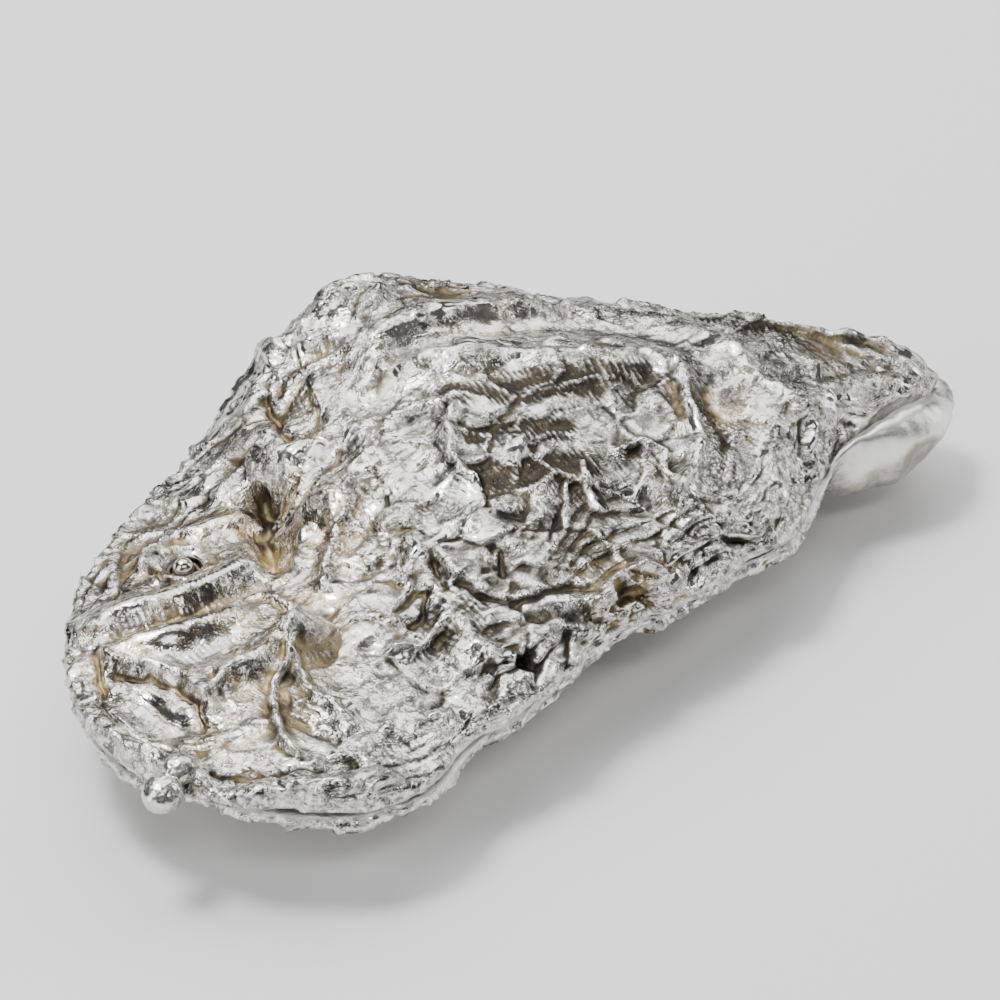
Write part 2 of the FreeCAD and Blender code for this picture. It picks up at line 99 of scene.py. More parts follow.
upperLook = {
    "voxel": 0.43, "seed": 11, "mostTriangles": 196000,
    "crumple": 0.85, "lamella": 0.5, "plates": 0.62,     # how strong each kind of relief is
    "beakCalm": 0.45, "broadCalm": 0.40,                 # how much of it is lost towards each end
    "ceiling": 36.9, "overCeiling": 0.75,                # mm, and how much of what is above goes
    "beadClear": 2.9, "hingeClear": 0.55,
    "scar": (-14, 14, 11, 8),                            # muscle mark inside: middle, half sizes
    # smoother places: middle in mm, radius, how much of the crumple is left
    "calm": [((-75, -12), 8, 0.08), ((-67, 1), 5, 0.15), ((-59, -1), 5, 0.2), ((-66, 8), 5, 0.15),
             ((-57, 6), 5, 0.15), ((-49, 7), 4, 0.2), ((-2, 27), 5, 0.15), ((7, 25), 5, 0.12),
             ((16, 22), 5, 0.12), ((24, 17), 5, 0.15), ((31, 12), 4, 0.2), ((-22, 46), 6, 0.15),
             ((-45, 18), 5, 0.2), ((-39, 18), 4, 0.2), ((28, -8), 4, 0.4), ((-64, -6), 5, 0.3),
             ((-8, 41), 4, 0.3), ((-36, 6), 4, 0.3)],
    # painted shade in holes, cracks, round the bead and on wider darker patches, and painted highlights on
    # smooth crests where the strength is below 0: middle in mm, radius, strength
    "paintedShadeAndHighlights": [((-53, 14.5), 3.3, 0.45), ((-57, 13.5), 2.4, 0.5), ((-26, -34.5), 2.5, 0.4),
              ((-4, -32), 3, 0.35), ((-30, -16), 9, 0.14), ((-24, 33), 8, 0.15), ((8, 37), 7, 0.2),
              ((-61, -24), 5, 0.22), ((-49, -16), 5, 0.22), ((57, 4), 10, 0.20), ((0, -10), 16, 0.14),
              ((24, 0), 12, 0.14), ((-10, -24), 12, 0.16), ((-24, -28), 10, 0.16),
              ((-60, 23), 8, 0.18), ((-46, 25), 8, 0.10), ((6, 25), 5, -0.30), ((18, 21), 5, -0.30),
              ((-76, -11), 5, -0.20), ((-66, 8), 4, -0.15), ((-36, 5), 4, -0.25),
              ((-20, 47), 5, -0.25), ((-66, 0), 4, -0.12)],
    # dark ribbed bands: centre line in mm, half width, strength
    "bands": [([(-6, 10.5), (3, 6.5), (11, 3)], 2.2, 0.30), ([(-9, 2), (-2, -0.5), (4, -3)], 1.8, 0.28),
              ([(-14, -5), (-6, -8), (3, -10)], 2.0, 0.28), ([(2, 10), (12, 6.5), (22, 2)], 1.6, 0.22),
              ([(-69, 6), (-62, 2.5), (-53, 3.5)], 1.4, 0.16), ([(24, -3), (27, -12), (22, -20)], 1.6, 0.2),
              ([(45, 13), (56, 6), (64, -1)], 2.4, 0.22)],
    # yellow-brown places: middle in mm, radius, strength
    "warm": [((-39, 13), 9, 1.0), ((-74, 3), 7, 0.9), ((-46, -6), 11, 0.9), ((-53, 14), 10, 0.8),
             ((28, -9), 7, 0.6), ((-36, 4), 9, 0.8), ((10, 31), 14, 0.5), ((-60, -16), 13, 0.6),
             ((-70, -20), 12, 0.5), ((62, -4), 13, 0.4), ((-3, -32), 9, 0.6), ((-20, 30), 14, 0.45),
             ((-50, 5), 26, 0.55), ((0, 0), 70, 0.07)],
    # rim that lifts or droops: middle in mm, radius, rise
    "lift": [((-66, -38), 9, 0.9), ((-4, -32), 6, 0.7), ((-80, -12), 10, 0.5), ((20, -29), 8, 0.4)],
}
lowerLook = {
    "voxel": 0.52, "seed": 29, "mostTriangles": 150000,
    "crumple": 0.8, "lamella": 0.7, "plates": 0.4, "beakCalm": 0.3, "broadCalm": 0.0,
    "cushion": 4.8, "inset": 1.7, "hingeClear": 1.0,
    "scar": (-14, 12, 11, 8),
    "calm": [((62, -16), 20, 0.06)], "warm": [((0, 0), 90, 0.25), ((60, -16), 22, 0.35)],
    "paintedShadeAndHighlights": [], "bands": [], "lift": [],
    # rounded lumps of the beak lobe: middle in the frame, radius, swell
    "lumps": [((53, -19, 9), 5, 0.9), ((60, -22, 9), 5, 1.2), ((68, -21, 9.5), 5, 1.1),
              ((76, -15, 9.5), 5, 1.0), ((64, -19, 5), 5, 0.7)],
}
# sizes in mm of the relief both valves share, and how much of each goes in
reliefLook = {
    "swirlSizes": (13, 4.5), "swirlReach": (4.2, 1.5),
    "rayLength": 13, "rayWidth": 6.0, "foldSizes": (13, 10), "dentSizes": (5.5, 4.5), "fineSize": 1.7,
    "plateSizes": (8.0, 3.4), "rays": 0.85, "folds": 0.95, "dents": 0.18, "fine": 0.04,
    "bigPlates": 1.3, "smallPlates": 0.20, "creaseDeep": 0.08,
    "deep": -0.5, "deepLeft": 0.45,                      # hollows under this depth are eased
    "growthStep": 3.1, "fineGrowthStep": 1.15, "rimWidth": 14,
    "ribStep": 0.95, "fluteRib": 0.15, "bandRib": 0.09,
    "leanOut": 0.55, "tear": 0.6, "leaf": 0.75, "leafStep": 0.95,
    "seamReach": 2.0, "seamGuard": 2.2,
}
silverLook = {"bright": (0.88, 0.865, 0.83), "mid": (0.145, 0.134, 0.114), "dark": (0.022, 0.019, 0.015),
              "warm": (0.60, 0.47, 0.25), "inside": (0.80, 0.79, 0.77), "scar": (0.36, 0.33, 0.29),
              "smooth": 0.10, "rough": 0.27, "cloudScale": 150, "speckScale": 760, "dentScale": 900,
              "pitScale": 2600, "growthLines": 9.5, "bump": 0.8}
lobeLook = {"color": (0.56, 0.53, 0.465), "shade": (0.26, 0.235, 0.19), "roughness": 0.36}
beadLook = {"segments": 64, "rings": 32, "color": (0.80, 0.77, 0.72), "roughness": 0.16, "cloud": 600}
# the collar's dark colour is painted shade, standing for the dark hole round the bead
collarLook = {"wire": 0.42, "segments": 64, "sides": 16, "color": (0.16, 0.14, 0.115), "roughness": 0.34,
              "cloud": 900}
knobLook = {"lumps": [((-75.4, -28.6, 18.3), (2.7, 2.4, 2.1)), ((-79.3, -30.2, 16.7), (3.1, 2.9, 2.6))],
            "voxel": 0.14, "waves": ((1.6, 0.16), (0.6, 0.08)), "seed": 71,
            "color": (0.80, 0.785, 0.755), "roughness": 0.26, "cloud": 420}
hingeLook = {"color": (0.62, 0.59, 0.54), "roughness": 0.34, "cloud": 900}
cameraLook = {"turn": -36.0, "lift": 35.0, "distance": 0.7, "lens": 166.3, "sensor": 36,
              "aim": (-0.367, -1.551, 18.0)}
lightLook = {"world": 0.08, "worldColor": (0.95, 0.97, 1.0), "floor": (0.93, 0.93, 0.935),
             "floorSize": 6, "floorRoughness": 0.9, "aimHigh": 0.015,
             # name, place and size in metres, watts
             "lamps": (("top sheet", (0.25, 0.55, 1.0), (1.6, 1.0), 15),
                       ("small lamp", (-0.25, 0.35, 1.2), (0.32, 0.32), 11),
                       ("left sheet", (-1.15, 0.0, 0.5), (0.5, 1.1), 8),
                       ("right sheet", (1.15, -0.35, 0.45), (0.3, 0.9), 4.5),
                       ("front strip", (-0.25, -0.75, 1.05), (0.9, 0.22), 4))}
bumpDistance = 0.00006                       # metres

drawnShift = np.array([3.31, -4.223])        # from the drawn middle to the frame
beakPoint = np.array([78.0, -9.0])           # where the rays and ribs run to
middle = np.array([1.3, -1.2])
beadPoint = np.array([-49.69, 10.27])
hingeMiddle = -8.2
seamHeight = 15.0
ringSlots = 180                              # an outline keeps one radius per 2 degrees


def clamp(v, low=0.0, high=1.0):
    return np.minimum(np.maximum(v, low), high)


def ease(v):
    v = clamp(v)
    return v * v * (3 - 2 * v)


def gradientNoise(p, seed):
    # smooth noise, about -1 to 1, on an (n, 3) array
    rng = np.random.default_rng(seed)
    perm = rng.permutation(256)
    table = rng.normal(size=(256, 3))
    table /= np.linalg.norm(table, axis=1)[:, None]
    cell = np.floor(p).astype(np.int64)
    part = p - cell
    fade = part * part * part * (part * (part * 6 - 15) + 10)
    total = np.zeros(len(p))
    for a in (0, 1):
        for b in (0, 1):
            for c in (0, 1):
                key = perm[(cell[:, 0] + a) & 255]
                key = perm[(key + cell[:, 1] + b) & 255]
                key = perm[(key + cell[:, 2] + c) & 255]
                offset = part - np.array([a, b, c])
                weight = (np.where(a, fade[:, 0], 1 - fade[:, 0]) * np.where(b, fade[:, 1], 1 - fade[:, 1])
                          * np.where(c, fade[:, 2], 1 - fade[:, 2]))
                total += weight * np.einsum("ij,ij->i", table[key], offset)
    return total * 1.5


def layered(p, seed, layers=3):
    return sum(gradientNoise(p * 2.03 ** k, seed + k) * 0.5 ** k for k in range(layers))


def plateCells(x, y, size, seed):
    # tilted plates with creases between them: height in units of size, and distance to the crease
    rng = np.random.default_rng(seed)
    jitter = rng.random((64, 64, 2))
    tilt = rng.normal(size=(64, 64, 3))
    u, v = x / size, y / size
    i, j = np.floor(u).astype(np.int64), np.floor(v).astype(np.int64)
    first = np.full(len(x), 9.0)
    second = np.full(len(x), 9.0)
    height = np.zeros(len(x))
    for a in (-1, 0, 1):
        for b in (-1, 0, 1):
            ci, cj = (i + a) & 63, (j + b) & 63
            du = u - (i + a + jitter[ci, cj, 0])
            dv = v - (j + b + jitter[ci, cj, 1])
            d = np.hypot(du, dv)
            near = d < first
            second = np.where(near, first, np.minimum(second, d))
            plane = tilt[ci, cj, 0] * du + tilt[ci, cj, 1] * dv + 0.25 * tilt[ci, cj, 2]
            height = np.where(near, plane, height)
            first = np.where(near, d, first)
    return height, second - first


def lineDistance(x, y, points):
    best = np.full(len(x), 1e9)
    for (ax, ay), (bx, by) in zip(points[:-1], points[1:]):
        ex, ey = bx - ax, by - ay
        t = clamp(((x - ax) * ex + (y - ay) * ey) / max(ex * ex + ey * ey, 1e-9))
        best = np.minimum(best, np.hypot(x - ax - t * ex, y - ay - t * ey))
    return best


def readMesh(obj):
    mesh = obj.data
    count = len(mesh.vertices)
    place = np.empty(count * 3)
    mesh.vertices.foreach_get("co", place)
    normal = np.empty(count * 3)
    mesh.vertices.foreach_get("normal", normal)
    edge = np.empty(len(mesh.edges) * 2, dtype=np.int32)
    mesh.edges.foreach_get("vertices", edge)
    return place.reshape(-1, 3) / mm, normal.reshape(-1, 3), edge.reshape(-1, 2)


def smoothed(values, edge, turns):
    # average over the neighbours, several times
    count = len(values)
    degree = np.bincount(edge.ravel(), minlength=count).astype(float)
    flat = values.reshape(count, -1).astype(float)
    for turn in range(turns):
        out = np.empty_like(flat)
        for k in range(flat.shape[1]):
            column = flat[:, k]
            out[:, k] = (np.bincount(edge[:, 0], column[edge[:, 1]], count)
                         + np.bincount(edge[:, 1], column[edge[:, 0]], count))
        flat = 0.5 * flat + 0.5 * out / degree[:, None]
    return flat.reshape(values.shape)


def addAttribute(obj, name, values):
    layer = obj.data.attributes.new(name, "FLOAT", "POINT")
    layer.data.foreach_set("value", values.astype(np.float32))


def only(obj):
    bpy.ops.object.select_all(action="DESELECT")
    obj.select_set(True)
    bpy.context.view_layer.objects.active = obj


def copyNode(node, name):
    only(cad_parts[node])
    bpy.ops.object.duplicate()
    obj = bpy.context.active_object
    obj.name = name
    obj.parent = None
    obj.modifiers.clear()
    bpy.ops.object.mode_set(mode="EDIT")
    bpy.ops.mesh.select_all(action="SELECT")
    bpy.ops.mesh.remove_doubles(threshold=1e-6)
    bpy.ops.mesh.normals_make_consistent(inside=False)
    bpy.ops.object.mode_set(mode="OBJECT")
    return obj


def remesh(obj, voxel):
    only(obj)
    modifier = obj.modifiers.new("skin", "REMESH")
    modifier.mode = "VOXEL"
    modifier.voxel_size = voxel * mm
    modifier.use_smooth_shade = True
    bpy.ops.object.modifier_apply(modifier=modifier.name)


def polarEdge(place):
    # outline radius about the middle, one value per slot of angle
    angle = np.arctan2(place[:, 1] - middle[1], place[:, 0] - middle[0])
    reach = np.hypot(place[:, 1] - middle[1], place[:, 0] - middle[0])
    slot = ((angle + math.pi) / (2 * math.pi) * ringSlots).astype(int) % ringSlots
    ring = np.zeros(ringSlots)
    np.maximum.at(ring, slot, reach)
    return ring


def edgeRatio(x, y, ring):
    angle = np.arctan2(y - middle[1], x - middle[0])
    reach = np.hypot(x - middle[0], y - middle[1])
    s = (angle + math.pi) / (2 * math.pi) * ringSlots - 0.5
    low = np.floor(s).astype(int)
    part = s - low
    full = ring[low % ringSlots] * (1 - part) + ring[(low + 1) % ringSlots] * part
    return reach / full, full


def noisePair(p, seed):
    return np.stack([gradientNoise(p, seed), gradientNoise(p, seed + 1)], 1)


def roundPatch(shell, centre, radius, reach):
    # 1 about a drawn place, fading out where the distance nears reach times the radius
    way = np.hypot(shell.drawn[:, 0] - centre[0], shell.drawn[:, 1] - centre[1]) / radius
    return ease(reach - way)


def surveyShell(obj, look, upper):
    # places, distances and swirled coordinates that every sculpting step shares
    shell = SimpleNamespace(look=look, upper=upper, seed=look["seed"], sign=1.0 if upper else -1.0)
    shell.place, normal, shell.edge = readMesh(obj)
    soft = smoothed(normal, shell.edge, 6)
    shell.soft = soft / (np.linalg.norm(soft, axis=1)[:, None] + 1e-9)
    shell.x, shell.y, shell.z = shell.place.T
    shell.ratio, shell.full = edgeRatio(shell.x, shell.y, polarEdge(shell.place))
    out = np.stack([shell.x - middle[0], shell.y - middle[1]], 1)
    shell.out = out / (np.linalg.norm(out, axis=1)[:, None] + 1e-9)
    outward = shell.soft[:, 0] * shell.out[:, 0] + shell.soft[:, 1] * shell.out[:, 1]
    mask = ease((shell.sign * normal[:, 2] + 0.55 * outward - 0.08) / 0.3)
    shell.mask = smoothed(mask, shell.edge, 2)
    shell.gap = shell.sign * (shell.z - seamHeight)
    shell.near = ease(shell.gap / reliefLook["seamReach"])
    shell.drawn = shell.place[:, :2] - drawnShift
    toBead = np.hypot(shell.x - beadPoint[0], shell.y - beadPoint[1])
    shell.beadRoom = ease((toBead - look["beadClear"]) / 1.6) if upper else 1.0
    shell.hingeRoom = 1 - ease((shell.x - 66) / 4) \
        * ease(1 - (np.abs(shell.y - hingeMiddle) - 5) / 3) * look["hingeClear"]

    # nothing on a shell runs straight
    shell.base = np.stack([shell.drawn[:, 0], shell.drawn[:, 1], shell.z * 0.6], 1)
    wide, small = reliefLook["swirlSizes"]
    wideReach, smallReach = reliefLook["swirlReach"]
    shell.swirl = noisePair(shell.base / wide, shell.seed + 1) * wideReach
    shell.swirl += noisePair(shell.base / small, shell.seed + 3) * smallReach
    shell.toBeak = np.hypot(shell.x - beakPoint[0], shell.y - beakPoint[1])
    shell.calm = np.ones(len(shell.x))
    for centre, radius, left in look["calm"]:
        shell.calm *= 1 - (1 - left) * roundPatch(shell, centre, radius, 1.35)
    return shell


def creasedPlates(x, y, size, seed, edgeWidth, creaseWidth):
    # tilted plates, pressed in a little where two of them meet
    plate, crease = plateCells(x, y, size, seed)
    return plate * ease(crease / edgeWidth) - reliefLook["creaseDeep"] * (1 - ease(crease / creaseWidth))


def crumpled(shell):
    # rays from the beak, folds, dents and tilted plates
    look, relief, seed = shell.look, reliefLook, shell.seed
    wx, wy = shell.drawn[:, 0] + shell.swirl[:, 0], shell.drawn[:, 1] + shell.swirl[:, 1]
    warped = np.stack([wx, wy, shell.z * 0.6], 1)
    around = np.arctan2(shell.y + 0.8 * shell.swirl[:, 1] - beakPoint[1], beakPoint[0] - shell.x)
    long = np.stack([shell.toBeak / relief["rayLength"] + shell.swirl[:, 0] * 0.05,
                     around * shell.toBeak / relief["rayWidth"], shell.z * 0.05], 1)
    rays = 0.5 - np.abs(gradientNoise(long, seed + 5)) * 2
    foldOne, foldTwo = relief["foldSizes"]
    folds = 0.4 - np.abs(gradientNoise(warped / foldOne, seed + 7)) * 1.4 \
        + np.abs(gradientNoise(warped / foldTwo, seed + 8)) * 0.9
    dentOne, dentTwo = relief["dentSizes"]
    dents = np.abs(gradientNoise(warped / dentOne, seed + 9)) \
        - np.abs(gradientNoise(warped / dentTwo, seed + 10))
    shell.fine = gradientNoise(warped / relief["fineSize"], seed + 12)
    big, small = relief["plateSizes"]
    bigPlates = creasedPlates(wx, wy * 1.2, big, seed + 13, 0.12, 0.08)
    smallPlates = creasedPlates(wx + 3, wy, small, seed + 14, 0.2, 0.15)
    height = look["crumple"] * (relief["rays"] * rays + relief["folds"] * folds
                                + relief["dents"] * dents + relief["fine"] * shell.fine)
    height += look["plates"] * (relief["bigPlates"] * clamp(bigPlates, -1, 1)
                                + relief["smallPlates"] * clamp(smallPlates, -1, 1))
    deep = relief["deep"]
    height = np.where(height < deep, deep + relief["deepLeft"] * (height - deep), height)
    height *= shell.calm * (1 - look["beakCalm"] * ease((shell.drawn[:, 0] + 12) / 45)) \
        * (1 - look["broadCalm"] * ease((-34 - shell.drawn[:, 0]) / 14))
    return height


def growthEdges(shell):
    # lamellae: growth edges parallel to the rim, lips leaning out
    rimWay = (1 - shell.ratio) * shell.full
    shell.growth = rimWay + 0.9 * shell.swirl[:, 0] + 0.5 * shell.swirl[:, 1]
    saw = (shell.growth / reliefLook["growthStep"]) % 1.0
    lip = np.where(saw < 0.82, 1 - saw / 0.82, (saw - 0.82) / 0.18) - 0.5
    fineSaw = (shell.growth / reliefLook["fineGrowthStep"] + 0.3 * shell.swirl[:, 1]) % 1.0
    fineLip = np.where(fineSaw < 0.7, 1 - fineSaw / 0.7, (fineSaw - 0.7) / 0.3) - 0.5
    rimNear = ease(1.25 - rimWay / reliefLook["rimWidth"])
    patch = ease(0.5 + 1.3 * gradientNoise(shell.base / 11, shell.seed + 15))
    return shell.look["lamella"] * (1.1 * lip * (0.35 + 0.65 * rimNear) + 0.35 * fineLip * rimNear) * patch


def addLidFolds(shell, height):
    # the lid's own folds, one by one, then the comb of ribs along its flute
    jog = noisePair(shell.base / 3.2, shell.seed + 31) * 0.8
    x, y = shell.drawn[:, 0] + jog[:, 0], shell.drawn[:, 1] + jog[:, 1]
    for points, half, tall in lidFolds.values():
        reach = lineDistance(x, y, points) / half
        height += tall * np.exp(-1.6 * reach ** 1.6) * (1 + 0.18 * shell.fine)
    x, y = shell.drawn.T
    ribs = np.sin(2 * math.pi * (x + 0.25 * y) / reliefLook["ribStep"])
    onFlute = ease(1.5 - lineDistance(x, y, lidFolds["ribbed flute"][0]) / 2.4)
    height += reliefLook["fluteRib"] * ribs * onFlute * ease((x + 66) / 12)
    # growth ribs on some of the plates, strongest on the dark bands
    ribWay = (shell.toBeak + 0.35 * shell.swirl[:, 0]) / reliefLook["ribStep"]
    patch = ease(0.2 + 1.8 * gradientNoise(shell.base / 9, shell.seed + 23))
    for points, half, strength in shell.look["bands"]:
        patch = np.maximum(patch, 1.5 * ease(2 - lineDistance(x, y, points) / half))
    height += reliefLook["bandRib"] * np.sin(2 * math.pi * ribWay) * patch * ease((shell.toBeak - 18) / 10)


def skinMoves(shell, height, lamella):
    # height along the softened normal, less at the rim, with growth edges that lean out
    amount = height * shell.mask * shell.beadRoom * shell.hingeRoom * (0.45 + 0.55 * shell.near)
    move = shell.soft * amount[:, None]
    move[:, 2] *= 0.3 + 0.7 * shell.near
    lean = clamp(lamella * 1.1 + 0.25 * height, -0.6, 1.0) * shell.mask * shell.beadRoom * shell.hingeRoom
    move[:, :2] += shell.out * lean[:, None] * reliefLook["leanOut"]
    small = np.stack([shell.x / 2.6, shell.y / 2.6, shell.z / 2.0], 1)
    wide = np.stack([shell.x / 7, shell.y / 7, shell.z / 4], 1)
    shell.ragged = gradientNoise(small, shell.seed + 17) + 0.6 * gradientNoise(wide, shell.seed + 18)
    shell.rimOnly = ease((shell.ratio - 0.93) / 0.05) * shell.hingeRoom * shell.calm
    leaf = (shell.z + 0.9 * gradientNoise(shell.base / 9, shell.seed + 19)) / reliefLook["leafStep"]
    upright = clamp(1 - np.abs(shell.soft[:, 2])) * shell.mask
    torn = reliefLook["tear"] * shell.ragged + reliefLook["leaf"] * (leaf % 1.0 - 0.5) * upright
    move[:, :2] += shell.out * (torn * shell.rimOnly)[:, None]
    return move


def addLobeMoves(shell, move):
    # the lower valve: drawn in under the lid, knobbly and lumpy on its beak lobe
    look, x, y, z = shell.look, shell.x, shell.y, shell.z
    inset = look["inset"] * shell.rimOnly * ease((48 - x) / 8) * ease((z - 6) / 3)
    move[:, :2] -= shell.out * inset[:, None]
    lidRatio, lidFull = edgeRatio(x, y, lidRing)
    shell.clear = (lidRatio - 1) * lidFull          # how far outside the lid
    part = clamp(shell.clear / np.maximum(shell.full - lidFull, 1.0))
    side = ease((x - 46) / 5) * ease((76 - x) / 4) * ease((-5 - y) / 3)
    crest = look["cushion"] * np.sin(math.pi * part ** 0.6) ** 0.8 - 1.8 * ease((part - 0.72) / 0.28)
    shell.cushion = np.where(shell.clear > 0.25, crest * side, 0) * ease((z - 9) / 5)
    knobbly = gradientNoise(shell.base / 3.4, shell.seed + 35) * 0.55 \
        + gradientNoise(shell.base / 1.5, shell.seed + 36) * 0.16
    belowSeam = ease(shell.gap / 1.5)
    move += shell.soft * (knobbly * ease((x - 46) / 6) * shell.mask * belowSeam)[:, None]
    for (cx, cy, cz), radius, swell in look["lumps"]:
        way = np.sqrt((x - cx) ** 2 + (y - cy) ** 2 + (z - cz) ** 2) / radius
        move += shell.soft * (swell * ease(1.2 - way) * shell.mask * belowSeam)[:, None]


def keepInside(shell, move):
    # a valve may only back away from the seam, and stays between the table and its ceiling
    for centre, radius, rise in shell.look["lift"]:
        move[:, 2] += shell.sign * rise * roundPatch(shell, centre, radius, 1.3) \
            * ease((shell.ratio - 0.8) / 0.12) * (0.6 + 0.8 * np.abs(shell.ragged))
    tied = shell.gap < reliefLook["seamGuard"]
    backing = shell.sign * np.maximum(shell.sign * move[:, 2], 0.0)
    move[:, 2] = np.where(tied, backing, move[:, 2])
    if shell.upper:
        over = np.maximum(shell.z + move[:, 2] - shell.look["ceiling"], 0)
        move[:, 2] -= over * shell.look["overCeiling"]
    else:
        move *= ease((shell.z - 0.2) / 2.2)[:, None]
        move[:, 2] = np.maximum(move[:, 2], 0.05 - shell.z)


def softenLobe(shell, place):
    # the beak lobe swells up past the lid and is rubbed smooth
    x, y, z = shell.x, shell.y, shell.z
    place[:, 2] += shell.cushion * (1 + 0.3 * gradientNoise(shell.base / 4, shell.seed + 33))
    bare = np.where((shell.clear > 0.3) | (z < 12), 1, 0)
    blend = ease((x - 46) / 5) * ease((-3 - y) / 3) * bare * ease((z - 1) / 2)
    rubbed = smoothed(place, shell.edge, 45)
    place = place + (rubbed - place) * smoothed(blend, shell.edge, 3)[:, None]
    ripple = 0.22 * gradientNoise(shell.base / 2.2, shell.seed + 37) * blend * (shell.clear > 0.6)
    return place + shell.soft * ripple[:, None]


def addTarnishAndPaintedLight(obj, shell):
    # hollows darken, listed spots add painted shade and painted highlights, and some hollows hold
    # yellow-brown tarnish
    place, normal, edge = readMesh(obj)
    look, x, y = shell.look, shell.drawn[:, 0], shell.drawn[:, 1]
    hollow = np.zeros(len(x))
    level, done = place, 0
    for turns, weight in ((3, 3.2), (12, 1.6), (45, 0.85)):
        level = smoothed(level, edge, turns - done)
        done = turns
        hollow += weight * np.einsum("ij,ij->i", level - place, normal)
    natural = clamp(0.5 + 0.42 * smoothed(hollow, edge, 1))
    hollow = natural
    # painted shade in holes, cracks and round the bead, and painted highlights where the strength is below
    # 0, added to the hollow value
    for centre, radius, strength in look["paintedShadeAndHighlights"]:
        hollow = clamp(hollow + strength * roundPatch(shell, centre, radius, 1.4))
    for points, half, strength in look["bands"]:
        reach = lineDistance(x + 0.4 * shell.swirl[:, 0], y + 0.4 * shell.swirl[:, 1], points) / half
        hollow = clamp(hollow + strength * ease(1.6 - reach))
    warm = np.zeros(len(x))
    for centre, radius, strength in look["warm"]:
        warm = np.maximum(warm, strength * roundPatch(shell, centre, radius, 1.4))
    cloud = layered(shell.base / 4, shell.seed + 21, 3)
    warm = clamp(warm * (0.5 + 0.9 * cloud) * (0.2 + 1.2 * natural))
    cx, cy, longWay, shortWay = look["scar"]
    scarWay = np.hypot((x - cx) / longWay, (y - cy) / shortWay)
    scarEdge = 0.10 * gradientNoise(shell.base / 3, shell.seed + 41)
    scar = ease((1.08 - scarWay + scarEdge) / 0.12) * (1 - shell.mask)
    for name, values in (("hollow", hollow), ("warm", warm * shell.mask), ("scar", scar),
                         ("outside", shell.mask), ("growth", shell.growth), ("calm", shell.calm)):
        addAttribute(obj, name, values)


def shellSkin(obj, look, upper):
    # rough outside of a valve; the seam faces, the inside and the hinge corner stay as they are
    shell = surveyShell(obj, look, upper)
    height = crumpled(shell)
    lamella = growthEdges(shell)
    height += lamella * (0.35 + 0.65 * shell.calm)
    place = shell.place
    if upper:
        addLidFolds(shell, height)
    else:
        lobe = ease((shell.x - 44) / 6) * ease((2.5 - shell.z + seamHeight - 2.2) / 1.0) * shell.mask
        place = place + (smoothed(place, shell.edge, 40) - place) * lobe[:, None]
    move = skinMoves(shell, height, lamella)
    if not upper:
        addLobeMoves(shell, move)
    keepInside(shell, move)
    place = place + move
    if not upper:
        place = softenLobe(shell, place)
    obj.data.vertices.foreach_set("co", (place * mm).ravel())
    obj.data.update()
    addTarnishAndPaintedLight(obj, shell)
    return shell.mask


def thin(obj, mask, limit):
    # fewer triangles on the plain inside
    only(obj)
    faces = sum(len(p.vertices) - 2 for p in obj.data.polygons)
    print("triangles before", obj.name, faces)
    if faces <= limit:
        return
    group = obj.vertex_groups.new(name="plain")
    level = np.round(1 - clamp(mask), 1)
    for value in np.unique(level):
        if value > 0:
            group.add(np.nonzero(level == value)[0].tolist(), float(value), "REPLACE")
    modifier = obj.modifiers.new("thin", "DECIMATE")
    modifier.ratio = limit / faces
    modifier.vertex_group = group.name
    modifier.vertex_group_factor = 0.6
    bpy.ops.object.modifier_apply(modifier=modifier.name)
    obj.vertex_groups.clear()
    print("triangles after", sum(len(p.vertices) - 2 for p in obj.data.polygons))


def newMaterial(name):
    material = bpy.data.materials.new(name)
    material.use_nodes = True
    tree = material.node_tree
    tree.nodes.clear()
    output = tree.nodes.new("ShaderNodeOutputMaterial")
    shader = tree.nodes.new("ShaderNodeBsdfPrincipled")
    tree.links.new(shader.outputs["BSDF"], output.inputs["Surface"])
    return material, tree, shader


def attributeNode(tree, name):
    node = tree.nodes.new("ShaderNodeAttribute")
    node.attribute_name = name
    return node.outputs["Fac"]


def noiseNode(tree, scale, detail=4.0, roughness=0.55, distortion=0.0):
    where = tree.nodes.new("ShaderNodeTexCoord")
    node = tree.nodes.new("ShaderNodeTexNoise")
    node.inputs["Scale"].default_value = scale
    node.inputs["Detail"].default_value = detail
    node.inputs["Roughness"].default_value = roughness
    node.inputs["Distortion"].default_value = distortion
    tree.links.new(where.outputs["Object"], node.inputs["Vector"])
    return node.outputs["Fac"]


def mathNode(tree, kind, a, b=None, c=None):
    node = tree.nodes.new("ShaderNodeMath")
    node.operation = kind
    for socket, value in zip(node.inputs, (a, b, c)):
        if value is None:
            continue
        if isinstance(value, (int, float)):
            socket.default_value = value
        else:
            tree.links.new(value, socket)
    return node.outputs[0]


def rangeNode(tree, value, low, high, toLow=0.0, toHigh=1.0):
    node = tree.nodes.new("ShaderNodeMapRange")
    for name, number in (("From Min", low), ("From Max", high), ("To Min", toLow), ("To Max", toHigh)):
        node.inputs[name].default_value = number
    tree.links.new(value, node.inputs["Value"])
    return node.outputs["Result"]


def colorMix(tree, fac, a, b):
    node = tree.nodes.new("ShaderNodeMix")
    node.data_type = "RGBA"
    tree.links.new(fac, node.inputs["Factor"])
    for socket, value in ((node.inputs[6], a), (node.inputs[7], b)):
        if isinstance(value, tuple):
            socket.default_value = (*value, 1.0)
        else:
            tree.links.new(value, socket)
    return node.outputs[2]


def bumpNode(tree, shader, height, strength):
    bump = tree.nodes.new("ShaderNodeBump")
    bump.inputs["Strength"].default_value = strength
    bump.inputs["Distance"].default_value = bumpDistance
    tree.links.new(height, bump.inputs["Height"])
    tree.links.new(bump.outputs["Normal"], shader.inputs["Normal"])


